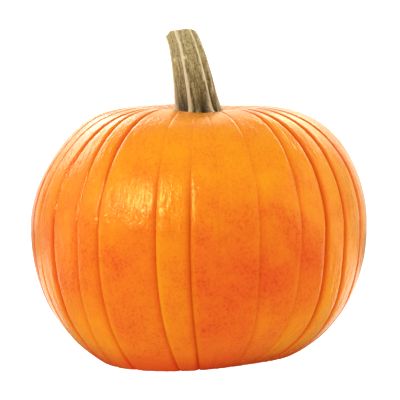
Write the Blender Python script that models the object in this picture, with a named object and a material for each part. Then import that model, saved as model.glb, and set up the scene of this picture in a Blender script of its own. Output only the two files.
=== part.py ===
"""A ribbed orange pumpkin with its dry stem, resting on the ground.

Metres, +Z up, origin on the ground under the middle of the part. -Y is the front. Both bodies are
spheres whose points are moved by a formula: the fruit is a flattened ball cut by furrows that run
from the stem to the blossom scar, and the stem is a leaning, ridged stalk that spreads over the
hollow of the crown. An azimuth is measured from the front, and grows towards +X.
"""

import math
import random

import bmesh
import bpy

# Fruit: the round body, before the furrows
FRUIT_RADIUS = 0.150
WAIST_HEIGHT = 0.1234
CROWN_RISE = 0.103
BELLY_DROP = 0.136
CROWN_BEND = (3.92, 1.63)  # exponents of the profile above the waist, out and up
BELLY_BEND = (2.49, 2.34)  # exponents below the waist, out and down

# Fruit: how it grew askew
WAIST_SLOPE = 0.017  # rise towards +X, as a share of x
BELLY_SLOPE = -0.012
CROWN_SADDLE = -0.020  # rise on two opposite sides, as a share of the radius
CROWN_SADDLE_TURN = math.radians(-5.5)
BELLY_SADDLE = 0.096
BELLY_SADDLE_TURN = math.radians(42.9)
# Swells and dents: azimuth and half width in degrees, radius and reach, and how far they push
CROWN_SWELLS = (
    (-90.0, 40.0, 0.135, 0.030, -0.0080),  # flattened left shoulder
    (-95.0, 50.0, 0.065, 0.030, -0.0022),  # low left edge of the crown
    (70.0, 50.0, 0.055, 0.030, -0.0012),  # low right edge
    (195.0, 29.0, 0.062, 0.025, 0.0022),  # high lobe behind the stem
    (4.0, 22.0, 0.066, 0.028, -0.0032),  # low edge in front of the stem
)
BELLY_SWELLS = ((-36.0, 32.0, 0.095, 0.026, 0.0035),)  # the side that it leans on

# Hollow round the stem, hollow round the blossom scar, and the ring that rests on the ground
HOLLOW_RADIUS = 0.066
HOLLOW_DEPTH = 0.015
BLOSSOM_RADIUS = 0.048
BLOSSOM_DEPTH = 0.010
RESTING_RADIUS = 0.075

# Furrows, from the left edge of the front to its right edge: azimuth at the waist, how far it turns
# by the crown and by the belly, all in degrees, and strength on the crown and on the belly
FRONT_FURROWS = (
    (-75.0, 2.0, 0.0, 1.0, 1.0),
    (-67.0, 7.0, 0.0, 0.5, 0.35),
    (-56.4, 8.0, -2.0, 1.2, 1.0),
    (-43.2, -0.5, -8.0, 0.8, 0.45),
    (-34.2, 1.5, -1.0, 1.0, 0.75),
    (-13.8, -1.0, 4.0, 0.15, 0.75),
    (-2.7, 0.0, 3.5, 0.12, 1.2),
    (6.6, -1.0, 2.5, 0.1, 0.25),
    (19.6, -1.5, 5.0, 0.25, 0.5),
    (34.8, 0.0, 3.0, 0.7, 0.4),
    (45.9, -4.2, 9.0, 1.2, 1.1),
    (56.3, -3.3, 19.0, 1.1, 1.0),
    (69.6, -8.5, 16.0, 1.3, 1.1),
    (84.0, -6.0, 6.0, 0.6, 0.6),
)
BACK_FURROWS = 17  # they fill the rest of the way round
BACK_JITTER = 1.6  # degrees
BACK_TURN = 2.5  # degrees
BACK_STRENGTHS = (0.4, 1.1)
SEED = 11
LIP_DEPTH = 0.0020  # how far a lobe's rounded edge falls towards a furrow of strength 1
LIP_WIDTH = 0.009
GROOVE_DEPTH = 0.0007  # the narrow part at the bottom of a furrow
GROOVE_WIDTH = 0.0035
CROWN_GAIN = 0.4  # furrows are deeper over the shoulder
STRENGTH_CHANGE = (0.1, 0.8)  # sines of the profile angle: belly strength below, crown above
STEM_SEAT_RADIUS = 0.034  # no furrow inside it
CROWN_FADE_RADIUS = 0.058
BELLY_FADE_RADIUS = 0.110
SCAR_RADIUS = 0.008  # no furrow inside it

# Stem: heights are measured from the hollow's floor
STEM_HEIGHT = 0.0771
STEM_TOP_RADIUS = 0.0138
STEM_FOOT_RADIUS = 0.0207
STEM_FLARE = 0.0102  # extra radius of the roots at the very foot
STEM_FLARE_HEIGHT = 0.0042  # over which the flare falls to a third
STEM_LEAN = 0.155  # towards -X, as a share of the height
STEM_HOOK = 0.0048  # further lean of the top, which grows with the fourth power of the height
STEM_CUT_TILT = 0.11  # slope of the cut
# Ridges: azimuth and half width in degrees, then height at the top and at the foot, as shares
STEM_RIDGES = (
    (-90.0, 13.0, 1.0, 1.0),
    (-55.0, 7.0, 0.45, 0.3),
    (-20.0, 8.5, 1.0, 1.0),
    (0.0, 9.0, 0.0, 0.95),
    (38.0, 6.0, 1.0, 1.0),
    (70.0, 8.0, 0.75, 0.7),
    (100.0, 13.0, 1.0, 1.0),
    (135.0, 8.0, 0.5, 0.5),
    (165.0, 8.0, 1.0, 1.0),
    (-160.0, 6.0, 0.3, 0.6),
    (-135.0, 8.0, 1.0, 1.0),
)
RIDGE_SHARPNESS = 1.4  # exponent of a ridge's section, 2 for a round one
VALLEY_DEPTH = 0.19  # as a share of the radius
FOOT_VALLEY_DEPTH = 0.26  # more at the very foot
FOOT_VALLEY_HEIGHT = 0.0085  # over which it falls to a third
# Where the cut's edge broke off: azimuth and half width in degrees, and depth
CHIPS = ((-86.0, 42.0, 0.0040), (88.0, 38.0, 0.0024))
FOOT_HEIGHT = 0.015  # below it the stem follows the hollow
PITH_DEPTH = 0.0012
SEAT_GAP = 0.0003  # between the stem and the fruit

# Mesh density
COLUMN_LIMITS = (0.2, 0.4)  # shares of a lobe that hold its near and its far column, at most
SEAT_ROWS = 6
SIDE_ROWS = 24
RESTING_ROWS = 3
BLOSSOM_ROWS = 4
STEM_COLUMNS = 72
STEM_SIDE_ROWS = 17
STEM_TOP_ROWS = 3
STEM_SEAT_ROWS = 5

SHARP_ANGLE = math.radians(40)


def smooth_step(value, low, high):
    """0 below low, 1 above high, and an even S between them."""
    t = min(max((value - low) / (high - low), 0.0), 1.0)
    return t * t * (3.0 - 2.0 * t)


def rounded_dip(share):
    """1 in the middle of a dip and 0 from its edge on."""
    return math.cos(0.5 * math.pi * min(share, 1.0)) ** 2


def round_profile(angle):
    """Radius and height over the waist at a profile angle, 90 degrees at the crown."""
    out = abs(math.cos(angle))
    up = abs(math.sin(angle))
    if angle >= 0.0:
        return FRUIT_RADIUS * out ** (2.0 / CROWN_BEND[0]), CROWN_RISE * up ** (2.0 / CROWN_BEND[1])
    return FRUIT_RADIUS * out ** (2.0 / BELLY_BEND[0]), -BELLY_DROP * up ** (2.0 / BELLY_BEND[1])


def profile_normal(angle):
    """Outward direction of the profile, as its radial and its upward part."""
    step = 0.002
    above = round_profile(min(angle + step, math.pi / 2))
    below = round_profile(max(angle - step, -math.pi / 2))
    run = above[0] - below[0]
    rise = above[1] - below[1]
    length = math.hypot(run, rise)
    return rise / length, -run / length


def turned_by(azimuth, centre):
    """Angle from a centre in degrees to an azimuth in radians, in degrees."""
    return (math.degrees(azimuth) - centre + 180.0) % 360.0 - 180.0


def swelling(swells, radius, azimuth):
    """How far the swells and dents push out the skin at a place."""
    total = 0.0
    for centre, width, middle, reach, height in swells:
        away = (turned_by(azimuth, centre) / width) ** 2 + ((radius - middle) / reach) ** 2
        total += height * math.exp(-away)
    return total


def crown_height(radius, azimuth, rise, share):
    """Height of the bare crown: its profile, its slope, its saddle and the stem's hollow."""
    slope = WAIST_SLOPE * (1.0 - share) * radius * math.sin(azimuth)
    saddle = CROWN_SADDLE * radius * math.cos(2.0 * (azimuth - CROWN_SADDLE_TURN)) * share
    hollow = HOLLOW_DEPTH * rounded_dip(radius / HOLLOW_RADIUS)
    return WAIST_HEIGHT + rise + slope + saddle - hollow


def belly_height(radius, azimuth, rise, share):
    """Height of the bare belly: profile, slope, saddle and swells, pressed flat, and the scar."""
    slope = (WAIST_SLOPE + (BELLY_SLOPE - WAIST_SLOPE) * share) * radius * math.sin(azimuth)
    saddle = BELLY_SADDLE * radius * math.cos(2.0 * (azimuth - BELLY_SADDLE_TURN)) * share
    swell = swelling(BELLY_SWELLS, radius, azimuth) * share
    pressed = max(WAIST_HEIGHT + rise + slope + saddle - swell, 0.0)
    return pressed + BLOSSOM_DEPTH * rounded_dip(radius / BLOSSOM_RADIUS)


def seat_height(x, y):
    """Height of the hollow's floor at a place near the axis, where no furrow reaches."""
    radius = math.hypot(x, y)
    azimuth = math.atan2(x, -y)
    share = 1.0 - (radius / FRUIT_RADIUS) ** CROWN_BEND[0]
    rise = CROWN_RISE * share ** (1.0 / CROWN_BEND[1])
    return crown_height(radius, azimuth, rise, share) + swelling(CROWN_SWELLS, radius, azimuth)


def furrow_ring():
    """All furrows round the fruit, in order and with the same five numbers as the front ones."""
    draw = random.Random(SEED)
    furrows = list(FRONT_FURROWS)
    start = FRONT_FURROWS[-1][0]
    gap = (FRONT_FURROWS[0][0] + 360.0 - start) / (BACK_FURROWS + 1)
    for place in range(1, BACK_FURROWS + 1):
        azimuth = start + gap * place + draw.uniform(-BACK_JITTER, BACK_JITTER)
        turns = (draw.uniform(-BACK_TURN, BACK_TURN), draw.uniform(-BACK_TURN, BACK_TURN))
        furrows.append((azimuth, *turns, draw.uniform(*BACK_STRENGTHS), draw.uniform(*BACK_STRENGTHS)))
    return furrows


def furrow_here(furrow, angle):
    """Azimuth in radians and strength of a furrow at a profile angle."""
    azimuth, crown_turn, belly_turn, crown_strength, belly_strength = furrow
    share = math.sin(angle) ** 2
    if angle >= 0.0:
        azimuth += crown_turn * share**2
    else:
        azimuth += belly_turn * share
    crown_part = smooth_step(math.sin(angle), *STRENGTH_CHANGE)
    return math.radians(azimuth), belly_strength + (crown_strength - belly_strength) * crown_part


def furrow_fade(radius, on_crown):
    """How much is left of a lobe's edge and of the groove: less by the stem and under the fruit."""
    if on_crown:
        inner = smooth_step(radius, STEM_SEAT_RADIUS, CROWN_FADE_RADIUS)
        fade = inner * (1.0 + CROWN_GAIN * smooth_step(radius, FRUIT_RADIUS, CROWN_FADE_RADIUS))
        return fade, fade
    lip = smooth_step(radius, RESTING_RADIUS, BELLY_FADE_RADIUS)
    return lip, smooth_step(radius, SCAR_RADIUS, BLOSSOM_RADIUS)


def furrow_depth(distances, strengths, half, radius, on_crown):
    """Depth between two furrows, from the distance to each and half the width, at the waist."""
    lip_fade, groove_fade = furrow_fade(radius, on_crown)
    reach = min(LIP_WIDTH, half)
    depth = 0.0
    for distance, strength in zip(distances, strengths):
        lip = max(0.0, 1.0 - distance / reach) ** 2
        groove = max(0.0, 1.0 - distance / GROOVE_WIDTH)
        depth += strength * (LIP_DEPTH * lip_fade * lip + GROOVE_DEPTH * groove_fade * groove)
    return depth


def angle_at_radius(radius, bend):
    """Profile angle, without its sign, at which the profile has this radius."""
    return math.acos((radius / FRUIT_RADIUS) ** (0.5 * bend[0]))


def even_angles(first, last, rows):
    """Profile angles from first to last that split the profile in steps of even length."""
    samples = 400
    angles = [first + (last - first) * k / samples for k in range(samples + 1)]
    points = [round_profile(angle) for angle in angles]
    lengths = [0.0]
    for here, there in zip(points, points[1:]):
        lengths.append(lengths[-1] + math.dist(here, there))
    chosen = []
    k = 0
    for row in range(rows + 1):
        wanted = lengths[-1] * row / rows
        while k < samples - 1 and lengths[k + 1] < wanted:
            k += 1
        part = (wanted - lengths[k]) / (lengths[k + 1] - lengths[k])
        chosen.append(angles[k] + part * (angles[k + 1] - angles[k]))
    return chosen


def fruit_rows():
    """Profile angle of every row: close ones under the stem and where the fruit rests."""
    seat = angle_at_radius(STEM_SEAT_RADIUS, CROWN_BEND)
    resting = -angle_at_radius(RESTING_RADIUS, BELLY_BEND)
    blossom = -angle_at_radius(BLOSSOM_RADIUS, BELLY_BEND)
    quarter = math.pi / 2
    angles = even_angles(quarter, seat, SEAT_ROWS)
    angles += even_angles(seat, resting, SIDE_ROWS)[1:]
    angles += even_angles(resting, blossom, RESTING_ROWS)[1:]
    angles += even_angles(blossom, -quarter, BLOSSOM_ROWS)[1:]
    return angles


def fruit_point(angle, furrow, next_furrow, share):
    """One point of the skin: the bare body, pushed in along its normal by the furrows."""
    radius, rise = round_profile(angle)
    sine_squared = math.sin(angle) ** 2
    on_crown = angle >= 0.0
    left, left_strength = furrow_here(furrow, angle)
    right, right_strength = furrow_here(next_furrow, angle)
    width = (right - left) % (2.0 * math.pi)
    azimuth = left + share * width
    height = crown_height if on_crown else belly_height
    z = height(radius, azimuth, rise, sine_squared)
    waist_width = width * FRUIT_RADIUS
    distances = (share * waist_width, (1.0 - share) * waist_width)
    strengths = (left_strength, right_strength)
    push = -furrow_depth(distances, strengths, 0.5 * waist_width, radius, on_crown)
    if on_crown:
        push += sine_squared * swelling(CROWN_SWELLS, radius, azimuth)
    out, up = profile_normal(angle)
    radius += push * out
    return radius * math.sin(azimuth), -radius * math.cos(azimuth), z + push * up


def shaped_sphere(name, columns, rows, place):
    """A closed mesh: a sphere whose point in each row and column goes to place(row, column)."""
    bm = bmesh.new()
    bmesh.ops.create_uvsphere(bm, u_segments=columns, v_segments=rows, radius=1.0)
    for vertex in bm.verts:
        from_top = math.acos(min(max(vertex.co.z, -1.0), 1.0))
        around = math.atan2(vertex.co.y, vertex.co.x)
        row = round(rows * from_top / math.pi)
        column = round(columns * around / (2.0 * math.pi)) % columns
        vertex.co = place(row, column)
    bmesh.ops.recalc_face_normals(bm, faces=bm.faces)
    mesh = bpy.data.meshes.new(name)
    bm.to_mesh(mesh)
    bm.free()
    mesh.shade_smooth()
    mesh.set_sharp_from_angle(angle=SHARP_ANGLE)
    return mesh


def lobe_shares(furrow, next_furrow):
    """Where a lobe's columns are, as shares of its width: on the furrow and beside both furrows."""
    width = math.radians((next_furrow[0] - furrow[0]) % 360.0) * FRUIT_RADIUS
    near = min(GROOVE_WIDTH / width, COLUMN_LIMITS[0])
    far = min(LIP_WIDTH / width, COLUMN_LIMITS[1])
    return 0.0, near, far, 1.0 - far, 1.0 - near


def fruit_mesh():
    """The fruit: a few columns for each lobe, so that every furrow has a column of its own."""
    furrows = furrow_ring()
    angles = fruit_rows()
    columns = []
    for furrow, next_furrow in zip(furrows, furrows[1:] + furrows[:1]):
        for share in lobe_shares(furrow, next_furrow):
            columns.append((furrow, next_furrow, share))

    def place(row, column):
        return fruit_point(angles[row], *columns[column])

    return shaped_sphere("fruit", len(columns), len(angles) - 1, place)


def stem_crest(height, azimuth):
    """How near the crest of a ridge is, from 0 to 1."""
    up = math.sqrt(height / STEM_HEIGHT)
    crest = 0.0
    for ridge, width, at_top, at_foot in STEM_RIDGES:
        bell = math.exp(-(abs(turned_by(azimuth, ridge) / width) ** RIDGE_SHARPNESS))
        crest = max(crest, (at_foot + (at_top - at_foot) * up) * bell)
    return crest


def stem_radius(height, azimuth):
    """Radius of the stem: a slow taper with valleys between its ridges, which flare into roots."""
    up = height / STEM_HEIGHT
    crest = stem_crest(height, azimuth)
    plain = STEM_FOOT_RADIUS + (STEM_TOP_RADIUS - STEM_FOOT_RADIUS) * up
    plain += STEM_FLARE * math.exp(-height / STEM_FLARE_HEIGHT) * crest
    valley = VALLEY_DEPTH + FOOT_VALLEY_DEPTH * math.exp(-height / FOOT_VALLEY_HEIGHT)
    return plain * (1.0 - valley * (1.0 - crest))


def stem_point(height, azimuth, share, sink):
    """A point of the stem: its axis leans and hooks, and its foot follows the hollow."""
    radius = share * stem_radius(height, azimuth)
    up = height / STEM_HEIGHT
    side = radius * math.sin(azimuth)
    x = side - STEM_LEAN * height - STEM_HOOK * up**4
    y = -radius * math.cos(azimuth)
    chip = 0.0
    for centre, half_width, depth in CHIPS:
        chip += depth * rounded_dip(abs(turned_by(azimuth, centre)) / half_width) * share**3
    on_section = seat_height(STEM_FOOT_RADIUS, 0.0) + height
    on_section += side * STEM_CUT_TILT - sink - chip * up**12
    on_hollow = seat_height(x, y) + SEAT_GAP + height
    blend = smooth_step(height, 0.0, FOOT_HEIGHT)
    return x, y, on_hollow + (on_section - on_hollow) * blend


def stem_mesh():
    """The stem: rings down its side, closed by a hollowed cut above and by the seat below."""
    last_side_row = STEM_TOP_ROWS + STEM_SIDE_ROWS
    rows = last_side_row + STEM_SEAT_ROWS

    def place(row, column):
        azimuth = 2.0 * math.pi * column / STEM_COLUMNS
        if row < STEM_TOP_ROWS:
            share = row / STEM_TOP_ROWS
            return stem_point(STEM_HEIGHT, azimuth, share, PITH_DEPTH * rounded_dip(share))
        if row <= last_side_row:
            down = (row - STEM_TOP_ROWS) / STEM_SIDE_ROWS
            height = STEM_HEIGHT * (1.0 - down) ** 1.5
            return stem_point(height, azimuth, 1.0, 0.0)
        share = (rows - row) / STEM_SEAT_ROWS
        return stem_point(0.0, azimuth, share, 0.0)

    return shaped_sphere("stem", STEM_COLUMNS, rows, place)


def plain_material(name, colour, roughness):
    """A Principled material without metal."""
    material = bpy.data.materials.new(name)
    material.use_nodes = True
    shader = material.node_tree.nodes["Principled BSDF"]
    shader.inputs["Base Color"].default_value = (*colour, 1.0)
    shader.inputs["Roughness"].default_value = roughness
    shader.inputs["Metallic"].default_value = 0.0
    return material


def add_part(collection, mesh, material):
    """One named object with its own material."""
    mesh.materials.append(material)
    part = bpy.data.objects.new(mesh.name, mesh)
    collection.objects.link(part)
    return part


for leftover in list(bpy.data.objects):
    bpy.data.objects.remove(leftover, do_unlink=True)

pumpkin = bpy.data.collections.new("pumpkin")
bpy.context.scene.collection.children.link(pumpkin)
add_part(pumpkin, fruit_mesh(), plain_material("waxy orange skin", (0.87, 0.21, 0.015), 0.35))
add_part(pumpkin, stem_mesh(), plain_material("dry woody stem", (0.31, 0.22, 0.09), 0.7))
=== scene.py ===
import random

import bpy
import numpy as np
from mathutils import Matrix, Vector


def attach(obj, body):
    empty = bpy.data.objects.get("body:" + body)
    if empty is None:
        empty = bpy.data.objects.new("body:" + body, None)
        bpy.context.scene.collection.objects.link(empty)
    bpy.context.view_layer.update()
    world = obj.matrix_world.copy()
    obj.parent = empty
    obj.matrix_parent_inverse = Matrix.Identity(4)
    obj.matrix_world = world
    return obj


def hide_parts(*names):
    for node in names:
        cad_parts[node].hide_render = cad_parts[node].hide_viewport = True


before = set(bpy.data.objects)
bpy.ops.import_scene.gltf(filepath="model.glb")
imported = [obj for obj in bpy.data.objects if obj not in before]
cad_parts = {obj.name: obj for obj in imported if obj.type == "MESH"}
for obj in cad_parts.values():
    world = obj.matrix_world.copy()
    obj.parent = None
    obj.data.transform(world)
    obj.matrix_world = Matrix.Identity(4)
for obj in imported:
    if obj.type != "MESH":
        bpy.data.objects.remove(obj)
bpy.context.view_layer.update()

# Camera: a long lens about six widths of the fruit away and a little above its waist, as product
# photographs are taken. It is aimed so that the waist's middle falls where the photograph has it.
# An azimuth is measured from the front, which is -Y, and grows towards +X. Sizes are in metres.
WAIST_HEIGHT = 0.1234
CAMERA_DISTANCE = 1.70
CAMERA_PITCH = np.radians(4.93)
PHOTO_PIXELS = 400
WAIST_PIXEL = (199.0, 219.0)
PIXELS_PER_METRE = 1120.2  # across the fruit
SENSOR_WIDTH = 36.0

aim_right = (PHOTO_PIXELS / 2 - WAIST_PIXEL[0]) / PIXELS_PER_METRE
aim_up = (WAIST_PIXEL[1] - PHOTO_PIXELS / 2) / PIXELS_PER_METRE / np.cos(CAMERA_PITCH)
camera_data = bpy.data.cameras.new("camera")
camera_data.sensor_width = SENSOR_WIDTH
camera_data.lens = SENSOR_WIDTH * PIXELS_PER_METRE * CAMERA_DISTANCE / PHOTO_PIXELS
camera_data.clip_start = 0.01
camera = bpy.data.objects.new("camera", camera_data)
camera.location = (
    0.0,
    -CAMERA_DISTANCE * np.cos(CAMERA_PITCH),
    WAIST_HEIGHT + CAMERA_DISTANCE * np.sin(CAMERA_PITCH),
)
aim = Vector((aim_right, 0.0, WAIST_HEIGHT + aim_up)) - camera.location
camera.rotation_euler = aim.to_track_quat("-Z", "Y").to_euler()
bpy.context.scene.collection.objects.link(camera)
bpy.context.scene.camera = camera

# Fruit: one grown body, a flattened ball of firm flesh under a thin waxy rind. Furrows run from the
# hollow round the stem to the scar of the blossom, and the lobes between them swell outwards. Its
# lowest lobes are pressed flat where it lay on the ground.
FRUIT_RADIUS = 0.150
CROWN_RISE = 0.103
BELLY_DROP = 0.136
CROWN_BEND = (3.92, 1.63)  # exponents of the profile above the waist, out and up
BELLY_BEND = (2.49, 2.34)  # exponents below the waist, out and down
WAIST_SLOPE = 0.017  # rise towards +X, as a share of x
BELLY_SLOPE = -0.012
CROWN_SADDLE = -0.020  # rise on two opposite sides, as a share of the radius
CROWN_SADDLE_TURN = np.radians(-5.5)
BELLY_SADDLE = 0.096
BELLY_SADDLE_TURN = np.radians(42.9)
# Swells and dents: azimuth and half width in degrees, radius and reach, and how far they push
CROWN_SWELLS = (
    (-90.0, 40.0, 0.135, 0.030, -0.0080),  # flattened left shoulder
    (-95.0, 50.0, 0.065, 0.030, -0.0022),  # low left edge of the crown
    (70.0, 50.0, 0.055, 0.030, -0.0012),  # low right edge
    (195.0, 29.0, 0.062, 0.025, 0.0022),  # high lobe behind the stem
    (4.0, 22.0, 0.066, 0.028, -0.0032),  # low edge in front of the stem
)
BELLY_SWELLS = ((-36.0, 32.0, 0.095, 0.026, 0.0035),)  # the side that it leans on
HOLLOW_RADIUS = 0.066
HOLLOW_DEPTH = 0.015
BLOSSOM_RADIUS = 0.048
BLOSSOM_DEPTH = 0.010
RESTING_RADIUS = 0.075
# Furrows, from the left edge of the front to its right edge: azimuth at the waist, how far it turns
# by the crown and by the belly, all in degrees, and strength on the crown and on the belly
FRONT_FURROWS = (
    (-75.0, 2.0, 0.0, 1.0, 1.0),
    (-67.0, 7.0, 0.0, 0.5, 0.35),
    (-56.4, 8.0, -2.0, 1.2, 1.0),
    (-43.2, -0.5, -8.0, 0.8, 0.45),
    (-34.2, 1.5, -1.0, 1.0, 0.75),
    (-13.8, -1.0, 4.0, 0.15, 0.75),
    (-2.7, 0.0, 3.5, 0.12, 1.2),
    (6.6, -1.0, 2.5, 0.1, 0.25),
    (19.6, -1.5, 5.0, 0.25, 0.5),
    (34.8, 0.0, 3.0, 0.7, 0.4),
    (45.9, -4.2, 9.0, 1.2, 1.1),
    (56.3, -3.3, 19.0, 1.1, 1.0),
    (69.6, -8.5, 16.0, 1.3, 1.1),
    (84.0, -6.0, 6.0, 0.6, 0.6),
)
BACK_FURROWS = 17
BACK_JITTER = 1.6  # degrees
BACK_TURN = 2.5  # degrees
BACK_STRENGTHS = (0.4, 1.1)
FURROW_SEED = 11
LIP_DEPTH = 0.0010  # how far a lobe's rounded edge falls towards a furrow of strength 1
LIP_WIDTH = 0.0038
GROOVE_DEPTH = 0.0010  # the narrow part at the bottom of a furrow
GROOVE_WIDTH = 0.0016
SHADE_AND_LIGHT_WIDTH = 0.0036  # of the painted shade and painted light beside a furrow
SHADE_AND_LIGHT_SHARPNESS = 1.5
# Painted shade reddens a furrow's side away from this azimuth, and painted light yellows its side
# towards it
SHADE_SIDE_MIDDLE = np.radians(8.0)
SHADE_SIDE_CHANGE = 0.2  # sine of the azimuth over which the two sides change places
SHADE_SHARES = (0.55, 0.45)  # the mean of both sides, and how far each is from it
# How much the painted light on a furrow's lip yellows the lobe's tone
LIP_LIGHT_GAIN = 0.6
CROWN_GAIN = 0.15  # furrows are deeper over the shoulder
STRENGTH_CHANGE = (0.1, 0.8)  # sines of the profile angle: belly strength below, crown above
STEM_SEAT_RADIUS = 0.034
CROWN_FADE_RADIUS = 0.058
BELLY_FADE_RADIUS = 0.110
SCAR_RADIUS = 0.008
# How yellow each front lobe is, 0 for red and 1 or more for yellow, beginning right of the first
# furrow: at its middle and near the ground, where the outer lobes are yellower with painted light
FRONT_TONES = (0.75, 0.6, 0.42, 0.4, 0.32, 0.62, 0.13, 0.1, 0.12, 0.16, 0.7, 1.0, 1.0)
LOW_TONES_AND_LIGHT = (1.0, 1.0, 0.9, 0.75, 0.45, 0.5, 0.2, 0.2, 0.5, 0.85, 1.1, 1.2, 1.2)
LOW_TONE_AND_LIGHT_CHANGE = (0.2, 0.65)  # sines of the profile angle below the waist
BACK_TONES = (0.3, 0.75)
# Painted shade near the ground, which makes the skin redder: up to what height, and how much
GROUND_SHADE_HEIGHT = 0.026
GROUND_SHADE = 0.9
# Shallow dents of the flesh: wavelength, mean depth and seed
RIPPLES = ((0.045, 0.00030, 3), (0.016, 0.00009, 4))
WAVES = 24  # sine waves in each
FREQUENCIES = (0.7, 1.4)  # the lowest and highest of them, as shares of the typical one
PRESSED_HEIGHT = 0.02  # below it the skin was pressed too smooth for dents
FRUIT_COLUMNS = 496
LEAST_COLUMNS = 10  # of a lobe
FRUIT_ROWS = 192
PROFILE_SAMPLES = 4001
ANGLE_STEP = 0.002  # over which the slope of the profile is taken
TUBE_END_RADIUS = 0.09  # where the tube that the skin is unrolled onto begins to close


def smooth_step(value, low, high):
    """0 below low, 1 above high, and an even S, 3t^2 - 2t^3, between them."""
    t = np.clip((value - low) / (high - low), 0.0, 1.0)
    return t * t * (3.0 - 2.0 * t)


def rounded_dip(share):
    """1 in the middle of a dip and 0 from its edge on, as the square of a cosine."""
    return np.cos(0.5 * np.pi * np.minimum(share, 1.0)) ** 2


def turned_by(azimuth, centre):
    """Angle from a centre in degrees to an azimuth in radians, in degrees between -180 and 180."""
    return (np.degrees(azimuth) - centre + 180.0) % 360.0 - 180.0


def swelling(swells, radius, azimuth):
    """Sum of bell-shaped swells, each a Gaussian of the azimuth and of the radius."""
    total = np.zeros_like(radius)
    for centre, width, middle, reach, height in swells:
        away = (turned_by(azimuth, centre) / width) ** 2 + ((radius - middle) / reach) ** 2
        total += height * np.exp(-away)
    return total


def fruit_profile(angle):
    """Radius and rise over the waist: a superellipse, R cos^(2/n) out and H sin^(2/m) up."""
    out = np.abs(np.cos(angle))
    up = np.abs(np.sin(angle))
    crown = angle >= 0.0
    radius = np.where(crown, out ** (2.0 / CROWN_BEND[0]), out ** (2.0 / BELLY_BEND[0]))
    crown_rise = CROWN_RISE * up ** (2.0 / CROWN_BEND[1])
    belly_rise = -BELLY_DROP * up ** (2.0 / BELLY_BEND[1])
    return FRUIT_RADIUS * radius, np.where(crown, crown_rise, belly_rise)


def crown_height(radius, azimuth, rise, share):
    """Height over the ground above the waist: rise, a slope that fades, a saddle and the hollow."""
    slope = WAIST_SLOPE * (1.0 - share) * radius * np.sin(azimuth)
    saddle = CROWN_SADDLE * radius * np.cos(2.0 * (azimuth - CROWN_SADDLE_TURN)) * share
    return WAIST_HEIGHT + rise + slope + saddle - HOLLOW_DEPTH * rounded_dip(radius / HOLLOW_RADIUS)


def belly_height(radius, azimuth, rise, share):
    """Height below the waist: rise, slope, saddle and swells, cut off at the ground, and the scar."""
    slope = (WAIST_SLOPE + (BELLY_SLOPE - WAIST_SLOPE) * share) * radius * np.sin(azimuth)
    saddle = BELLY_SADDLE * radius * np.cos(2.0 * (azimuth - BELLY_SADDLE_TURN)) * share
    swell = swelling(BELLY_SWELLS, radius, azimuth) * share
    pressed = np.maximum(WAIST_HEIGHT + rise + slope + saddle - swell, 0.0)
    return pressed + BLOSSOM_DEPTH * rounded_dip(radius / BLOSSOM_RADIUS)


def seat_height(x, y):
    """Height of the hollow's floor near the axis: the crown's formula solved for the radius."""
    radius = np.hypot(x, y)
    azimuth = np.arctan2(x, -y)
    share = 1.0 - (radius / FRUIT_RADIUS) ** CROWN_BEND[0]
    rise = CROWN_RISE * share ** (1.0 / CROWN_BEND[1])
    return crown_height(radius, azimuth, rise, share) + swelling(CROWN_SWELLS, radius, azimuth)


def furrow_ring():
    """All furrows in order, with the first one again at the end: the front ones and a jittered back.
    The columns are azimuth, turn by the crown, turn by the belly, and the two strengths."""
    draw = random.Random(FURROW_SEED)
    furrows = list(FRONT_FURROWS)
    start = FRONT_FURROWS[-1][0]
    gap = (FRONT_FURROWS[0][0] + 360.0 - start) / (BACK_FURROWS + 1)
    for place in range(1, BACK_FURROWS + 1):
        azimuth = start + gap * place + draw.uniform(-BACK_JITTER, BACK_JITTER)
        turns = (draw.uniform(-BACK_TURN, BACK_TURN), draw.uniform(-BACK_TURN, BACK_TURN))
        furrows.append((azimuth, *turns, draw.uniform(*BACK_STRENGTHS), draw.uniform(*BACK_STRENGTHS)))
    first = FRONT_FURROWS[0]
    furrows.append((first[0] + 360.0, *first[1:]))
    return np.array(furrows)


def furrow_here(furrows, which, angle):
    """Azimuth in radians and strength of numbered furrows: each turns with the square of the sine of
    the profile angle below the waist and with its fourth power above, and its strength changes in
    a smooth step."""
    azimuth, crown_turn, belly_turn, crown_strength, belly_strength = np.moveaxis(furrows[which], -1, 0)
    share = np.sin(angle) ** 2
    azimuth = azimuth + np.where(angle >= 0.0, crown_turn * share**2, belly_turn * share)
    crown_part = smooth_step(np.sin(angle), *STRENGTH_CHANGE)
    return np.radians(azimuth), belly_strength + (crown_strength - belly_strength) * crown_part


def ripples(points, wavelength, depth, seed):
    """Smooth dents: a sum of sine waves that run through space in random directions, cut off at
    twice its typical size and moved so that it lies between 0 and -2 depth."""
    draw = np.random.default_rng(seed)
    total = np.zeros(points.shape[:-1])
    for _ in range(WAVES):
        heading = draw.normal(size=3)
        frequency = 2.0 * np.pi / wavelength / np.linalg.norm(heading)
        heading *= frequency * draw.uniform(*FREQUENCIES)
        total += np.sin(points @ heading + draw.uniform(0.0, 2.0 * np.pi))
    return depth * (np.clip(total / np.sqrt(2.0 * WAVES), -1.0, 1.0) - 1.0)


def furrow_depth(distance, strength, half, lip_fade, groove_fade):
    """Depth at a distance from a furrow: a lip that falls with the square of the distance from its
    edge, and a sharp groove that falls exponentially."""
    lip = np.maximum(0.0, 1.0 - distance / np.minimum(LIP_WIDTH, half)) ** 2
    groove = np.exp(-distance / GROOVE_WIDTH)
    return strength * (LIP_DEPTH * lip_fade * lip + GROOVE_DEPTH * groove_fade * groove)


def shade_and_light_near(distance):
    """How far a furrow's painted shade and painted light reach at a distance from it: exp(-d^p), from 1
    in the furrow.
    """
    return np.exp(-((distance / SHADE_AND_LIGHT_WIDTH) ** SHADE_AND_LIGHT_SHARPNESS))


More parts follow.
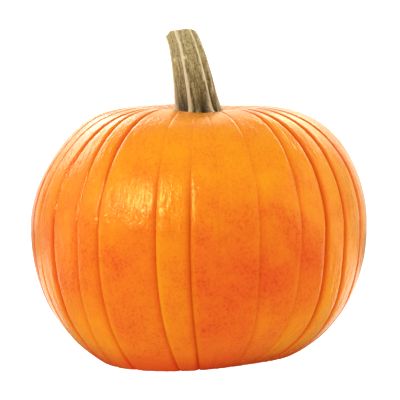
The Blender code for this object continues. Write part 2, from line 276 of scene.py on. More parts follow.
def fruit_surface(turn, angle):
    """The skin: the profile turned round the axis, sheared, bent and swollen, then pushed in along
    its normal by the furrows. turn counts lobes, and angle is the profile's. Returns the points,
    the painted shade that reddens and the painted light that yellows beside a furrow, 0 to its
    strength."""
    furrows = furrow_ring()
    lobe = np.minimum(turn.astype(int), len(furrows) - 2)
    left, left_strength = furrow_here(furrows, lobe, angle)
    right, right_strength = furrow_here(furrows, lobe + 1, angle)
    share = turn - lobe
    azimuth = left + share * (right - left)
    radius, rise = fruit_profile(angle)
    steep = np.sin(angle) ** 2
    on_crown = angle >= 0.0
    crown = crown_height(radius, azimuth, rise, steep)
    height = np.where(on_crown, crown, belly_height(radius, azimuth, rise, steep))
    width = (right - left) * FRUIT_RADIUS
    gain = 1.0 + CROWN_GAIN * smooth_step(-radius, -FRUIT_RADIUS, -CROWN_FADE_RADIUS)
    crown_fade = smooth_step(radius, STEM_SEAT_RADIUS, CROWN_FADE_RADIUS) * gain
    belly_fade = smooth_step(radius, RESTING_RADIUS, BELLY_FADE_RADIUS)
    scar_fade = smooth_step(radius, SCAR_RADIUS, BLOSSOM_RADIUS)
    fades = (np.where(on_crown, crown_fade, belly_fade), np.where(on_crown, crown_fade, scar_fade))
    depth = furrow_depth(share * width, left_strength, width / 2, *fades)
    depth += furrow_depth((1.0 - share) * width, right_strength, width / 2, *fades)
    push = np.where(on_crown, steep * swelling(CROWN_SWELLS, radius, azimuth), 0.0) - depth
    above = fruit_profile(np.minimum(angle + ANGLE_STEP, np.pi / 2))
    below = fruit_profile(np.maximum(angle - ANGLE_STEP, -np.pi / 2))
    length = np.hypot(above[0] - below[0], above[1] - below[1])
    out = (above[1] - below[1]) / length
    up = -(above[0] - below[0]) / length
    radius = radius + push * out
    points = np.stack([radius * np.sin(azimuth), -radius * np.cos(azimuth), height + push * up], -1)
    # Painted shade reddens one side of each furrow and painted light yellows the other, by azimuth
    start = left_strength * shade_and_light_near(share * width) * fades[1]
    end = right_strength * shade_and_light_near((1.0 - share) * width) * fades[1]
    side = np.tanh(np.sin(azimuth - SHADE_SIDE_MIDDLE) / SHADE_SIDE_CHANGE)
    mean, lean = SHADE_SHARES
    painted_shade = start * (mean + lean * side) + end * (mean - lean * side)
    painted_lip_light = start * (0.5 - 0.5 * side) + end * (0.5 + 0.5 * side)
    return points, painted_shade, painted_lip_light


def lobe_columns(furrows):
    """Turns of the mesh's columns: more in a wide lobe, and in each one closer by its furrows, where
    they are spaced like the cosine of an even angle."""
    turns = []
    for lobe, width in enumerate(np.diff(furrows[:, 0])):
        count = max(LEAST_COLUMNS, round(FRUIT_COLUMNS * width / 360.0))
        turns.append(lobe + 0.5 - 0.5 * np.cos(np.pi * np.arange(count) / count))
    return np.concatenate(turns)


def closed_skin(name, grid, values):
    """A closed smooth mesh from rings of points, top ring first, whose first and last rings are
    single points. values maps attribute names to one number or vector for each point."""
    rows, columns = grid.shape[:2]

    def as_points(table):
        """One row for each point: the first, all rings between, and the last."""
        return np.concatenate([table[0, :1], table[1:-1].reshape(-1, *table.shape[2:]), table[-1, :1]])

    index = 1 + np.arange((rows - 2) * columns).reshape(rows - 2, columns)
    onward = np.roll(index, -1, axis=1)
    quads = np.stack([index[:-1], index[1:], onward[1:], onward[:-1]], -1).reshape(-1, 4)
    last = 1 + (rows - 2) * columns
    top = [(0, a, b) for a, b in zip(index[0].tolist(), onward[0].tolist())]
    bottom = [(last, b, a) for a, b in zip(index[-1].tolist(), onward[-1].tolist())]
    mesh = bpy.data.meshes.new(name)
    mesh.from_pydata(as_points(grid).tolist(), [], quads.tolist() + top + bottom)
    for attribute, table in values.items():
        kind = "FLOAT_VECTOR" if table.ndim == 3 else "FLOAT"
        layer = mesh.attributes.new(attribute, kind, "POINT")
        field = "vector" if table.ndim == 3 else "value"
        layer.data.foreach_set(field, as_points(table).astype(np.float32).ravel())
    mesh.shade_smooth()
    piece = bpy.data.objects.new(name, mesh)
    bpy.context.scene.collection.objects.link(piece)
    return piece


furrows = furrow_ring()
sample_angles = np.linspace(np.pi / 2, -np.pi / 2, PROFILE_SAMPLES)
sample_radius, sample_rise = fruit_profile(sample_angles)
sample_length = np.hypot(np.diff(sample_radius), np.diff(sample_rise)).cumsum()
sample_length = np.concatenate([[0.0], sample_length])
fruit_lengths = np.linspace(0.0, sample_length[-1], FRUIT_ROWS + 1)
fruit_angles = np.interp(fruit_lengths, sample_length, sample_angles)
turn_grid, angle_grid = np.meshgrid(lobe_columns(furrows), fruit_angles)
fruit_points, painted_shade, painted_lip_light = fruit_surface(turn_grid, angle_grid)
uneven = sum(ripples(fruit_points, *ripple) for ripple in RIPPLES)
from_axis = np.hypot(fruit_points[..., 0], fruit_points[..., 1])
uneven *= smooth_step(from_axis, STEM_SEAT_RADIUS, CROWN_FADE_RADIUS)
uneven *= smooth_step(fruit_points[..., 2], 0.0, PRESSED_HEIGHT)
outward = fruit_points - np.array([0.0, 0.0, WAIST_HEIGHT])
outward /= np.linalg.norm(outward, axis=-1, keepdims=True)
fruit_points = fruit_points + uneven[..., None] * outward
back_tones = np.random.default_rng(FURROW_SEED).uniform(*BACK_TONES, BACK_FURROWS + 1)
middle_tone = np.concatenate([FRONT_TONES, back_tones])[turn_grid.astype(int)]
# Near the ground the outer lobes are yellower with painted light, and the furrows' lips add their
# painted light to the tone
low_tone_and_light = np.concatenate([LOW_TONES_AND_LIGHT, back_tones])[turn_grid.astype(int)]
low_share = smooth_step(-np.sin(angle_grid), *LOW_TONE_AND_LIGHT_CHANGE)
lobe_tone_and_light = middle_tone + (low_tone_and_light - middle_tone) * low_share + LIP_LIGHT_GAIN * painted_lip_light
# Painted shade near the ground, added to the furrows' painted shade
ground_shade = smooth_step(-fruit_points[..., 2], -GROUND_SHADE_HEIGHT, 0.0)
ground_shade *= smooth_step(from_axis, BLOSSOM_RADIUS, RESTING_RADIUS)
painted_shade = painted_shade + GROUND_SHADE * ground_shade
# The skin unrolled onto a tube that closes at its ends, where a distance along a furrow is the third
# coordinate
grid_azimuth = np.arctan2(fruit_points[..., 0], -fruit_points[..., 1])
tube_radius = FRUIT_RADIUS * np.minimum(1.0, from_axis / TUBE_END_RADIUS)
unrolled = np.stack(
    [
        tube_radius * np.sin(grid_azimuth),
        -tube_radius * np.cos(grid_azimuth),
        np.broadcast_to(fruit_lengths[:, None], grid_azimuth.shape),
    ],
    -1,
)
fruit = closed_skin(
    "fruit_skin",
    fruit_points,
    {"furrow": painted_shade, "tone": lobe_tone_and_light, "unrolled": unrolled},
)


def linear(hex_colour):
    """Linear RGBA of an sRGB hex colour, by the formula of the sRGB standard."""
    srgb = np.array([int(hex_colour[k : k + 2], 16) for k in (1, 3, 5)]) / 255.0
    low = srgb / 12.92
    high = ((srgb + 0.055) / 1.055) ** 2.4
    return (*np.where(srgb <= 0.04045, low, high).tolist(), 1.0)


def add(tree, kind, settings, inputs):
    """Adds a node: settings are its own options, and inputs are values, or (node, output) links. A
    Mix takes its share at 0, and two numbers at 2 and 3 or two colours at 6 and 7. It gives the
    mixed number at 0 or the mixed colour at 2."""
    node = tree.nodes.new(kind)
    for name, value in settings.items():
        setattr(node, name, value)
    for socket, value in inputs.items():
        if isinstance(value, tuple) and isinstance(value[0], bpy.types.Node):
            tree.links.new(value[0].outputs[value[1]], node.inputs[socket])
        else:
            node.inputs[socket].default_value = value
    return node


# Waxy pumpkin rind, as grown: a glossy cuticle over orange flesh. It is redder and freckled on the
# belly and yellower on the crown, each lobe in its own degree. Painted shade reddens it beside the
# furrows and near the ground, and painted light yellows the furrows' lips and the low outer lobes.
# Long streaks and fine crinkles break up its gloss, which the yellow cuticle tints where it is seen
# face on.
RED_RIND = linear("#de602a")
YELLOW_RIND = linear("#e6951e")
FRECKLE = linear("#cc4a1a")
FURROW_SHADE = linear("#d4431a")
SHEEN = linear("#ffd880")
CROWN_YELLOW = 0.88  # how yellow the crown is, on the scale of the lobes' tones
BORDER_SHIFT = 0.06  # how far the patches of ripeness move the border of the crown
PATCH_CONTRAST = 0.85  # how far the patches move the rind between red and yellow
NOISE_MEAN = 0.5
FURROW_SHADE_SHARE = 0.75  # of the furrows' painted shade colour in a furrow of strength 1
WAX_ROUGHNESS = 0.13
WAX_IOR = 1.39
skin = bpy.data.materials.new("waxy pumpkin rind")
skin.use_nodes = True
tree = skin.node_tree
shader = tree.nodes["Principled BSDF"]
place = add(tree, "ShaderNodeTexCoord", {}, {})
place_parts = add(tree, "ShaderNodeSeparateXYZ", {}, {"Vector": (place, "Object")})
# Patches of ripeness, about 30 mm across, which blur the border between crown and belly
patches = add(
    tree,
    "ShaderNodeTexNoise",
    {},
    {"Vector": (place, "Object"), "Scale": 33.0, "Detail": 5.0, "Roughness": 0.6},
)
ragged_height = add(
    tree,
    "ShaderNodeMath",
    {"operation": "MULTIPLY_ADD"},
    {0: (patches, "Fac"), 1: BORDER_SHIFT, 2: (place_parts, "Z")},
)
crown_share = add(
    tree,
    "ShaderNodeMapRange",
    {"interpolation_type": "SMOOTHSTEP"},
    {"Value": (ragged_height, "Value"), "From Min": 0.125, "From Max": 0.215, "To Max": 1.0},
)
# The lobes' tones, with painted light on the low outer lobes and on the furrows' lips
tone = add(tree, "ShaderNodeAttribute", {"attribute_name": "tone"}, {})
clear_yellow = add(
    tree,
    "ShaderNodeMix",
    {"data_type": "FLOAT"},
    {0: (crown_share, "Result"), 2: (tone, "Fac"), 3: CROWN_YELLOW},
)
patch_shift = add(
    tree,
    "ShaderNodeMath",
    {"operation": "SUBTRACT"},
    {0: (patches, "Fac"), 1: NOISE_MEAN},
)
yellow = add(
    tree,
    "ShaderNodeMath",
    {"operation": "MULTIPLY_ADD", "use_clamp": True},
    {0: (patch_shift, "Value"), 1: PATCH_CONTRAST, 2: (clear_yellow, 0)},
)
ripe = add(
    tree,
    "ShaderNodeMix",
    {"data_type": "RGBA"},
    {0: (yellow, "Value"), 6: RED_RIND, 7: YELLOW_RIND},
)
# Dark freckles about 2 mm wide, drawn coarser than the real ones so that they show. They are
# fainter on yellow skin, and gather where the patches are red.
freckles = add(
    tree,
    "ShaderNodeTexNoise",
    {},
    {"Vector": (place, "Object"), "Scale": 430.0, "Detail": 3.0, "Roughness": 0.65},
)
freckle_dots = add(
    tree,
    "ShaderNodeMapRange",
    {"interpolation_type": "SMOOTHSTEP"},
    {"Value": (freckles, "Fac"), "From Min": 0.47, "From Max": 0.66, "To Max": 1.0},
)
freckle_strength = add(
    tree,
    "ShaderNodeMapRange",
    {},
    {"Value": (clear_yellow, 0), "From Min": 0.1, "From Max": 0.7, "To Min": 0.88, "To Max": 0.36},
)
clusters = add(
    tree,
    "ShaderNodeMapRange",
    {},
    {"Value": (patches, "Fac"), "From Min": 0.65, "From Max": 0.35, "To Min": 0.25, "To Max": 1.0},
)
clustered = add(
    tree,
    "ShaderNodeMath",
    {"operation": "MULTIPLY"},
    {0: (freckle_strength, "Result"), 1: (clusters, "Result")},
)
freckle_share = add(
    tree,
    "ShaderNodeMath",
    {"operation": "MULTIPLY"},
    {0: (freckle_dots, "Result"), 1: (clustered, "Value")},
)
freckled = add(
    tree,
    "ShaderNodeMix",
    {"data_type": "RGBA"},
    {0: (freckle_share, "Value"), 6: (ripe, 2), 7: FRECKLE},
)
# Painted shade: the rind is redder beside the furrows and near the ground
furrow = add(tree, "ShaderNodeAttribute", {"attribute_name": "furrow"}, {})
furrow_shade_share = add(
    tree,
    "ShaderNodeMath",
    {"operation": "MULTIPLY", "use_clamp": True},
    {0: (furrow, "Fac"), 1: FURROW_SHADE_SHARE},
)
rind = add(
    tree,
    "ShaderNodeMix",
    {"data_type": "RGBA"},
    {0: (furrow_shade_share, "Value"), 6: (freckled, 2), 7: FURROW_SHADE},
)
tree.links.new(rind.outputs[2], shader.inputs["Base Color"])
# Streaks about 7 mm wide and 25 mm long, along the furrows. They fade on the crown.
unrolled_place = add(tree, "ShaderNodeAttribute", {"attribute_name": "unrolled"}, {})
streak_space = add(
    tree,
    "ShaderNodeMapping",
    {},
    {"Vector": (unrolled_place, "Vector"), "Scale": (1.0, 1.0, 0.3)},
)
streaks = add(
    tree,
    "ShaderNodeTexNoise",
    {},
    {"Vector": (streak_space, "Vector"), "Scale": 140.0, "Detail": 3.0, "Roughness": 0.55},
)
streak_strength = add(
    tree,
    "ShaderNodeMapRange",
    {"interpolation_type": "SMOOTHSTEP"},
    {"Value": (place_parts, "Z"), "From Min": 0.185, "From Max": 0.222, "To Min": 1.0, "To Max": 0.25},
)
streaked = add(
    tree,
    "ShaderNodeBump",
    {},
    {"Height": (streaks, "Fac"), "Strength": (streak_strength, "Result"), "Distance": 0.0012},
)
# Fine crinkles, about 3 mm apart
crinkles = add(
    tree,
    "ShaderNodeTexNoise",
    {},
    {"Vector": (place, "Object"), "Scale": 330.0, "Detail": 3.0, "Roughness": 0.6},
)
crinkled = add(
    tree,
    "ShaderNodeBump",
    {},
    {
        "Height": (crinkles, "Fac"),
        "Strength": 1.0,
        "Distance": 0.0004,
        "Normal": (streaked, "Normal"),
    },
)
tree.links.new(crinkled.outputs["Normal"], shader.inputs["Normal"])
shader.inputs["Roughness"].default_value = WAX_ROUGHNESS
shader.inputs["IOR"].default_value = WAX_IOR
shader.inputs["Specular Tint"].default_value = SHEEN
fruit.data.materials.append(skin)
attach(fruit, "root")
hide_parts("fruit")

# Stem: the dried stalk that the fruit hung from, a leaning woody column. Ridges run up it, and at
# its foot they spread like roots over the hollow of the crown, to which it has grown.
STEM_HEIGHT = 0.0771
STEM_TOP_RADIUS = 0.0138
STEM_FOOT_RADIUS = 0.0207
STEM_FLARE = 0.0094  # extra radius of the roots at the very foot
STEM_FLARE_HEIGHT = 0.0042
STEM_LEAN = 0.155  # towards -X, as a share of the height
STEM_HOOK = 0.0048  # further lean of the top
HOOK_POWER = 4  # of the share of the height
STEM_CUT_TILT = 0.11  # slope of the cut
# Ridges: azimuth and half width in degrees, then height at the top and at the foot, as shares
STEM_RIDGES = (
    (-90.0, 13.0, 1.0, 1.0),
    (-55.0, 7.0, 0.45, 0.3),
    (-20.0, 8.5, 1.1, 1.0),
    (0.0, 9.0, 0.0, 0.95),
    (38.0, 4.2, 1.15, 1.0),
    (70.0, 8.0, 0.75, 0.7),
    (100.0, 13.0, 1.0, 1.0),
    (135.0, 8.0, 0.5, 0.5),
    (165.0, 8.0, 1.05, 1.0),
    (-160.0, 6.0, 0.3, 0.6),
    (-135.0, 8.0, 1.05, 1.0),
)
RIDGE_SHARPNESS = 1.4
VALLEY_DEPTH = 0.19  # as a share of the radius
FOOT_VALLEY_DEPTH = 0.26  # more at the very foot
FOOT_VALLEY_HEIGHT = 0.0125
ROOT_SPREAD = 0.8  # how much wider a ridge is at the very foot, as a share
ROOT_SPREAD_HEIGHT = 0.008
RIM_ROUNDING = 0.0016
# Where the cut's edge broke off: azimuth and half width in degrees, and depth
CHIPS = ((-86.0, 42.0, 0.0040), (88.0, 38.0, 0.0024))
CHIP_POWERS = (3, 12)  # of the share of the radius and of the height
# Warts: azimuth in degrees, height, half width and how far they stand out
WARTS = ((-64.0, 0.0510, 0.0021, 0.0015), (-14.0, 0.0525, 0.0014, 0.0009))
SCAR = (10.0, 26.0, 0.0550, 0.0008, 0.0008)  # a healed cut: azimuth, half width, height, width, depth
FOOT_HEIGHT = 0.015  # below it the section bends to the hollow's floor
SEAT_OVERLAP = 0.0004  # the foot is grown into the fruit
PITH_DEPTH = 0.0022  # how far the middle of the cut has sunk
CORE_SHARE = 0.55  # of the cut's radius that is shrunken brown core
STEM_COLUMNS = 400
STEM_SIDE_ROWS = 200
STEM_TOP_ROWS = 20
STEM_SEAT_ROWS = 6
ROW_CROWDING = 1.2  # of the side's rows towards the foot


def stem_crest(height, azimuth):
    """How near a ridge's crest is, from 0 to about 1: the highest of bells exp(-|d|^p), whose
    heights go from their foot's to their top's with the square root of the height, and which
    widen exponentially towards the foot."""
    up = np.sqrt(height / STEM_HEIGHT)
    spread = 1.0 + ROOT_SPREAD * np.exp(-height / ROOT_SPREAD_HEIGHT)
    crest = np.zeros_like(azimuth)
    for centre, width, at_top, at_foot in STEM_RIDGES:
        away = np.abs(turned_by(azimuth, centre)) / (width * spread)
        bell = np.exp(-(away**RIDGE_SHARPNESS))
        crest = np.maximum(crest, (at_foot + (at_top - at_foot) * up) * bell)
    return crest


def wart_nearness(height, azimuth, centre, middle, width):
    """1 on a wart's middle, falling as a Gaussian of the distance from it."""
    sideways = np.radians(turned_by(azimuth, centre)) * STEM_TOP_RADIUS
    return np.exp(-((sideways / width) ** 2) - ((height - middle) / width) ** 2)


def stem_radius(height, azimuth):
    """A line from foot to top, less the valleys between the ridges, plus roots that flare with each
    ridge, warts, a scar and a rounded rim."""
    up = height / STEM_HEIGHT
    at_foot = np.exp(-height / STEM_FLARE_HEIGHT)
    crest = stem_crest(height, azimuth)
    plain = STEM_FOOT_RADIUS + (STEM_TOP_RADIUS - STEM_FOOT_RADIUS) * up
    plain = plain + STEM_FLARE * at_foot * np.minimum(crest, 1.0)
    valley = VALLEY_DEPTH + FOOT_VALLEY_DEPTH * np.exp(-height / FOOT_VALLEY_HEIGHT)
    radius = plain * (1.0 - valley * (1.0 - crest))
    for centre, middle, width, out in WARTS:
        radius = radius + out * wart_nearness(height, azimuth, centre, middle, width)
    centre, half_width, middle, width, depth = SCAR
    across = rounded_dip(np.abs(turned_by(azimuth, centre)) / half_width)
    radius = radius - depth * across * np.exp(-(((height - middle) / width) ** 2))
    near_rim = np.clip(1.0 - (STEM_HEIGHT - height) / RIM_ROUNDING, 0.0, 1.0)
    return radius - RIM_ROUNDING * (1.0 - np.sqrt(1.0 - near_rim**2))


def stem_surface(height, azimuth, share, sink):
    """The stalk: its section on a leaning and hooked axis, tilted towards the cut, chipped at the
    top's edge and blended at the foot into the hollow's floor. share scales the radius, and sink
    lowers the cut."""
    radius = share * stem_radius(height, azimuth)
    up = height / STEM_HEIGHT
    side = radius * np.sin(azimuth)
    x = side - STEM_LEAN * height - STEM_HOOK * up**HOOK_POWER
    y = -radius * np.cos(azimuth)
    chip = np.zeros_like(radius)
    inward, downward = CHIP_POWERS
    for centre, half_width, depth in CHIPS:
        chip += depth * rounded_dip(np.abs(turned_by(azimuth, centre)) / half_width) * share**inward
    on_section = seat_height(np.array(STEM_FOOT_RADIUS), np.array(0.0)) + height
    on_section = on_section + side * STEM_CUT_TILT - sink - chip * up**downward
    on_hollow = seat_height(x, y) - SEAT_OVERLAP + height
    blend = smooth_step(height, 0.0, FOOT_HEIGHT)
    return np.stack([x, y, on_hollow + (on_section - on_hollow) * blend], -1)


top_share = np.linspace(0.0, 1.0, STEM_TOP_ROWS + 1)[:-1]
side_height = STEM_HEIGHT * np.linspace(1.0, 0.0, STEM_SIDE_ROWS + 1) ** ROW_CROWDING
seat_share = np.linspace(1.0, 0.0, STEM_SEAT_ROWS + 1)[1:]
stem_share = np.concatenate([top_share, np.ones_like(side_height), seat_share])
stem_height = np.concatenate(
    [np.full_like(top_share, STEM_HEIGHT), side_height, np.zeros_like(seat_share)]
)
stem_sink = np.where(stem_height < STEM_HEIGHT, 0.0, PITH_DEPTH * rounded_dip(stem_share))
azimuth_grid, height_grid = np.meshgrid(
    2.0 * np.pi * np.arange(STEM_COLUMNS) / STEM_COLUMNS, stem_height
)
share_grid = np.broadcast_to(stem_share[:, None], azimuth_grid.shape)
sink_grid = np.broadcast_to(stem_sink[:, None], azimuth_grid.shape)
stem_points = stem_surface(height_grid, azimuth_grid, share_grid, sink_grid)
straight = np.stack(
    [
        STEM_FOOT_RADIUS * share_grid * np.sin(azimuth_grid),
        -STEM_FOOT_RADIUS * share_grid * np.cos(azimuth_grid),
        height_grid,
    ],
    -1,
)
crest_grid = np.clip(stem_crest(height_grid, azimuth_grid), 0.0, 1.0)
wart_grid = np.zeros_like(azimuth_grid)
for centre, middle, width, _ in WARTS:
    wart_grid += wart_nearness(height_grid, azimuth_grid, centre, middle, width)
cut_grid = np.where(share_grid < 1.0, 1.0, 0.0) * (height_grid > FOOT_HEIGHT)
core_grid = cut_grid * rounded_dip(share_grid / CORE_SHARE)
stem = closed_skin(
    "stem_stalk",
    stem_points,
    {
        "straight": straight,
        "crest": crest_grid,
        "wart": wart_grid,
        "cut": cut_grid,
        "core": core_grid,
    },
)

# Dried corky stalk: khaki fibres that run along it under dark lichen specks, with paler ridges, worn
# and with a painted highlight, paler warts, painted shade between the roots, and a shrunken brown
# core in the pale cut. It is dull.
DARK_FIBRE = linear("#5e4e26")
PALE_FIBRE = linear("#c3b27c")
DRY_TOP = linear("#ddcd9c")
SPECK = linear("#43371a")
WORN_AND_LIT_RIDGE = linear("#e4d8bc")
ROOT_SHADE = linear("#2a250e")
WART = linear("#e6dca6")
PALE_CUT = linear("#e0d2a6")
DARK_CUT = linear("#96804c")
BROWN_CORE = linear("#5f4a28")
CORK_ROUGHNESS = 0.68
bark = bpy.data.materials.new("dried corky stalk")
bark.use_nodes = True
tree = bark.node_tree
shader = tree.nodes["Principled BSDF"]
along = add(tree, "ShaderNodeAttribute", {"attribute_name": "straight"}, {})
along_parts = add(tree, "ShaderNodeSeparateXYZ", {}, {"Vector": (along, "Vector")})
# Fibres about 2 mm apart and 14 mm long
fibre_space = add(
    tree,
    "ShaderNodeMapping",
    {},
    {"Vector": (along, "Vector"), "Scale": (1.0, 1.0, 0.15)},
)
fibres = add(
    tree,
    "ShaderNodeTexNoise",
    {},
    {"Vector": (fibre_space, "Vector"), "Scale": 480.0, "Detail": 4.0, "Roughness": 0.65},
)
fibre_share = add(
    tree,
    "ShaderNodeMapRange",
    {},
    {"Value": (fibres, "Fac"), "From Min": 0.33, "From Max": 0.67},
)
fibre_colour = add(
    tree,
    "ShaderNodeMix",
    {"data_type": "RGBA"},
    {0: (fibre_share, "Result"), 6: DARK_FIBRE, 7: PALE_FIBRE},
)
# The stalk dries from its cut, so it is paler there
dry_share = add(
    tree,
    "ShaderNodeMapRange",
    {},
    {"Value": (along_parts, "Z"), "From Min": 0.035, "From Max": 0.077, "To Max": 0.45},
)
valley_colour = add(
    tree,
    "ShaderNodeMix",
    {"data_type": "RGBA"},
    {0: (dry_share, "Result"), 6: (fibre_colour, 2), 7: DRY_TOP},
)
# Specks nearly 2 mm wide
specks = add(
    tree,
    "ShaderNodeTexNoise",
    {},
    {"Vector": (along, "Vector"), "Scale": 520.0, "Detail": 4.0, "Roughness": 0.75},
)
speck_share = add(
    tree,
    "ShaderNodeMapRange",
    {"interpolation_type": "SMOOTHSTEP"},
    {"Value": (specks, "Fac"), "From Min": 0.50, "From Max": 0.62, "To Max": 0.7},
)
specked = add(
    tree,
    "ShaderNodeMix",
    {"data_type": "RGBA"},
    {0: (speck_share, "Result"), 6: (valley_colour, 2), 7: SPECK},
)
crest = add(tree, "ShaderNodeAttribute", {"attribute_name": "crest"}, {})
# Pale crests, partly wear and partly a painted highlight. The fibres make their edges uneven
frayed_crest = add(
    tree,
    "ShaderNodeMath",
    {"operation": "ADD"},
    {0: (fibres, "Fac"), 1: (crest, "Fac")},
)
worn_and_lit_share = add(
    tree,
    "ShaderNodeMapRange",
    {"interpolation_type": "SMOOTHSTEP"},
    {"Value": (frayed_crest, "Value"), "From Min": 0.95, "From Max": 1.4, "To Max": 0.85},
)
worn_and_lit = add(
    tree,
    "ShaderNodeMix",
    {"data_type": "RGBA"},
    {0: (worn_and_lit_share, "Result"), 6: (specked, 2), 7: WORN_AND_LIT_RIDGE},
)
# Painted shade between the roots, darkest in their valleys near the foot
root_share = add(
    tree,
    "ShaderNodeMapRange",
    {"interpolation_type": "SMOOTHSTEP"},
    {"Value": (along_parts, "Z"), "From Min": 0.0, "From Max": 0.034, "To Min": 1.0, "To Max": 0.0},
)
shaded_share = add(
    tree,
    "ShaderNodeMapRange",
    {},
    {"Value": (crest, "Fac"), "From Min": 0.1, "From Max": 0.85, "To Min": 0.92, "To Max": 0.12},
)
shade = add(
    tree,
    "ShaderNodeMath",
    {"operation": "MULTIPLY"},
    {0: (root_share, "Result"), 1: (shaded_share, "Result")},
)
shaded_root = add(
    tree,
    "ShaderNodeMix",
    {"data_type": "RGBA"},
    {0: (shade, "Value"), 6: (worn_and_lit, 2), 7: ROOT_SHADE},
)
wart = add(tree, "ShaderNodeAttribute", {"attribute_name": "wart"}, {})
warty = add(
    tree,
    "ShaderNodeMix",
    {"data_type": "RGBA"},
    {0: (wart, "Fac"), 6: (shaded_root, 2), 7: WART},
)
cut = add(tree, "ShaderNodeAttribute", {"attribute_name": "cut"}, {})
cut_colour = add(
    tree,
    "ShaderNodeMix",
    {"data_type": "RGBA"},
    {0: (specks, "Fac"), 6: PALE_CUT, 7: DARK_CUT},
)
core = add(tree, "ShaderNodeAttribute", {"attribute_name": "core"}, {})
cored = add(
    tree,
    "ShaderNodeMix",
    {"data_type": "RGBA"},
    {0: (core, "Fac"), 6: (cut_colour, 2), 7: BROWN_CORE},
)
bark_colour = add(
    tree,
    "ShaderNodeMix",
    {"data_type": "RGBA"},
    {0: (cut, "Fac"), 6: (warty, 2), 7: (cored, 2)},
)
tree.links.new(bark_colour.outputs[2], shader.inputs["Base Color"])
fibre_bump = add(
    tree,
    "ShaderNodeBump",
    {},
    {"Height": (fibres, "Fac"), "Strength": 1.0, "Distance": 0.0010},
)
speck_bump = add(
    tree,
    "ShaderNodeBump",
    {},
    {
        "Height": (specks, "Fac"),
        "Strength": 1.0,
        "Distance": 0.0006,
        "Normal": (fibre_bump, "Normal"),
    },
)
tree.links.new(speck_bump.outputs["Normal"], shader.inputs["Normal"])
shader.inputs["Roughness"].default_value = CORK_ROUGHNESS
stem.data.materials.append(bark)
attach(stem, "root")
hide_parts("stem")

# Floor: a sheet of pale paper on a light table, far larger than the view. The camera sees it burnt
# out to white, and it throws some light up at the fruit. It is lit in a pool behind the fruit and
# again at the foot of the backdrop, and both show only as reflections in the rind.
FLOOR_SIZE = 60.0
PAPER = linear("#989898")
PAPER_ROUGHNESS = 0.9
SEEN_GLOW = 1.2  # to the camera
BOUNCED_GLOW = 0.8  # to the fruit's own colour
bpy.ops.mesh.primitive_plane_add(size=FLOOR_SIZE)
floor = bpy.context.object
floor.name = "floor"
paper = bpy.data.materials.new("pale paper")
paper.use_nodes = True
tree = paper.node_tree
shader = tree.nodes["Principled BSDF"]
rays = add(tree, "ShaderNodeLightPath", {}, {})
bounced = add(
    tree,
    "ShaderNodeMath",
    {"operation": "MULTIPLY"},
    {0: (rays, "Is Diffuse Ray"), 1: BOUNCED_GLOW},
)
spot = add(tree, "ShaderNodeTexCoord", {}, {})
spot_parts = add(tree, "ShaderNodeSeparateXYZ", {}, {"Vector": (spot, "Object")})
glow = add(
    tree,
    "ShaderNodeMapRange",
    {"interpolation_type": "SMOOTHSTEP"},
    {"Value": (spot_parts, "Y"), "From Min": 0.0, "From Max": 0.12, "To Min": 0.0, "To Max": 1.2},
)
glow_end = add(
    tree,
    "ShaderNodeMapRange",
    {"interpolation_type": "SMOOTHSTEP"},
    {"Value": (spot_parts, "Y"), "From Min": 0.25, "From Max": 0.55, "To Min": 1.0, "To Max": 0.0},
)
sweep = add(
    tree,
    "ShaderNodeMapRange",
    {"interpolation_type": "SMOOTHSTEP"},
    {"Value": (spot_parts, "Y"), "From Min": 0.8, "From Max": 1.4, "To Min": 0.0, "To Max": 0.6},
)
pool = add(
    tree,
    "ShaderNodeMath",
    {"operation": "MULTIPLY_ADD"},
    {0: (glow, "Result"), 1: (glow_end, "Result"), 2: (sweep, "Result")},
)
mirrored = add(
    tree,
    "ShaderNodeMath",
    {"operation": "MULTIPLY_ADD"},
    {0: (rays, "Is Glossy Ray"), 1: (pool, "Value"), 2: (bounced, "Value")},
)
burnt_out = add(
    tree,
    "ShaderNodeMath",
    {"operation": "MULTIPLY_ADD"},
    {0: (rays, "Is Camera Ray"), 1: SEEN_GLOW, 2: (mirrored, "Value")},
)
tree.links.new(burnt_out.outputs["Value"], shader.inputs["Emission Strength"])
shader.inputs["Emission Color"].default_value = (1.0, 1.0, 1.0, 1.0)
shader.inputs["Base Color"].default_value = PAPER
shader.inputs["Roughness"].default_value = PAPER_ROUGHNESS
floor.data.materials.append(paper)

# Light: a dim room with a bright ceiling and a wide warm backdrop, and eight softboxes. Two narrow
# keys at the front left show in the broad lobes there, and a rim behind each shoulder lays a sheen
# on the outer lobes. A fill, two sides and an overhead are large and faint and model the lobes.
ROOM_TINT = (1.0, 0.95, 0.8, 1.0)
SEEN_ROOM = 2.0  # burnt out to white
world = bpy.data.worlds.new("studio")
world.use_nodes = True
bpy.context.scene.world = world
tree = world.node_tree
background = tree.nodes["Background"]
direction = add(tree, "ShaderNodeTexCoord", {}, {})
heading = add(tree, "ShaderNodeSeparateXYZ", {}, {"Vector": (direction, "Generated")})
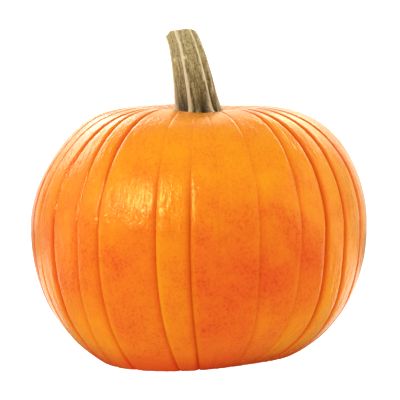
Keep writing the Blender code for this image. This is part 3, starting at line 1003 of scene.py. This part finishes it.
# The walls are brightest in front
backward = add(
    tree,
    "ShaderNodeVectorMath",
    {"operation": "DOT_PRODUCT"},
    {0: (direction, "Generated"), 1: (0.1, 1.0, 0.0)},
)
walls = add(
    tree,
    "ShaderNodeMapRange",
    {"interpolation_type": "SMOOTHSTEP"},
    {"Value": (backward, "Value"), "From Min": -0.8, "From Max": 0.1, "To Min": 0.54, "To Max": 0.06},
)
ceiling = add(
    tree,
    "ShaderNodeMapRange",
    {"interpolation_type": "SMOOTHSTEP"},
    {"Value": (heading, "Z"), "From Min": 0.1, "From Max": 0.7, "To Min": 0.0, "To Max": 0.66},
)
backdrop = add(
    tree,
    "ShaderNodeMapRange",
    {"interpolation_type": "SMOOTHSTEP"},
    {"Value": (heading, "Y"), "From Min": 0.5, "From Max": 0.97, "To Min": 0.0, "To Max": 1.3},
)
walls_and_ceiling = add(
    tree,
    "ShaderNodeMath",
    {"operation": "ADD"},
    {0: (walls, "Result"), 1: (ceiling, "Result")},
)
room = add(
    tree,
    "ShaderNodeMath",
    {"operation": "ADD"},
    {0: (walls_and_ceiling, "Value"), 1: (backdrop, "Result")},
)
rays = add(tree, "ShaderNodeLightPath", {}, {})
brightness = add(
    tree,
    "ShaderNodeMix",
    {"data_type": "FLOAT"},
    {0: (rays, "Is Camera Ray"), 2: (room, "Value"), 3: SEEN_ROOM},
)
tree.links.new(brightness.outputs[0], background.inputs["Strength"])
background.inputs["Color"].default_value = ROOM_TINT

# Softboxes: azimuth and elevation in degrees, distance, width, height and radiance
SOFTBOXES = {
    "key": (-37.5, 25.0, 1.6, 0.22, 0.56, 42.0),
    "side_key": (-60.0, 22.0, 1.6, 0.08, 0.42, 50.0),
    "fill": (-40.0, 28.0, 1.7, 1.3, 1.2, 1.02),
    "left_side": (-86.0, 18.0, 1.7, 1.6, 1.4, 1.0),
    "right_side": (86.0, 12.0, 1.7, 1.6, 1.5, 1.5),
    "left_rim": (-141.0, 35.0, 1.6, 1.2, 0.7, 5.3),
    "right_rim": (144.0, 35.5, 1.6, 1.2, 0.6, 3.3),
    "overhead": (-20.0, 72.0, 1.6, 1.2, 1.2, 0.8),
}
GLOSS_ONLY = ("key", "side_key", "left_rim", "right_rim")  # seen only in the gloss
WHITE = (1.0, 1.0, 1.0)
RIM_COLOURS = {"left_rim": (1.0, 0.78, 0.88), "right_rim": (1.0, 0.85, 0.7)}
for name, (azimuth, elevation, distance, wide, high, radiance) in SOFTBOXES.items():
    data = bpy.data.lights.new(name, "AREA")
    data.shape = "RECTANGLE"
    data.size = wide
    data.size_y = high
    data.energy = np.pi * radiance * wide * high
    data.color = RIM_COLOURS.get(name, WHITE)
    softbox = bpy.data.objects.new(name, data)
    level = distance * np.cos(np.radians(elevation))
    softbox.location = (
        level * np.sin(np.radians(azimuth)),
        -level * np.cos(np.radians(azimuth)),
        WAIST_HEIGHT + distance * np.sin(np.radians(elevation)),
    )
    toward = Vector((0.0, 0.0, WAIST_HEIGHT)) - softbox.location
    softbox.rotation_euler = toward.to_track_quat("-Z", "Y").to_euler()
    softbox.visible_camera = False
    softbox.visible_diffuse = name not in GLOSS_ONLY
    softbox.visible_glossy = name != "overhead"
    bpy.context.scene.collection.objects.link(softbox)

# Contrast of a catalogue photograph, exposed a little under
bpy.context.scene.view_settings.view_transform = "Standard"
bpy.context.scene.view_settings.look = "Medium High Contrast"
bpy.context.scene.view_settings.exposure = -0.2
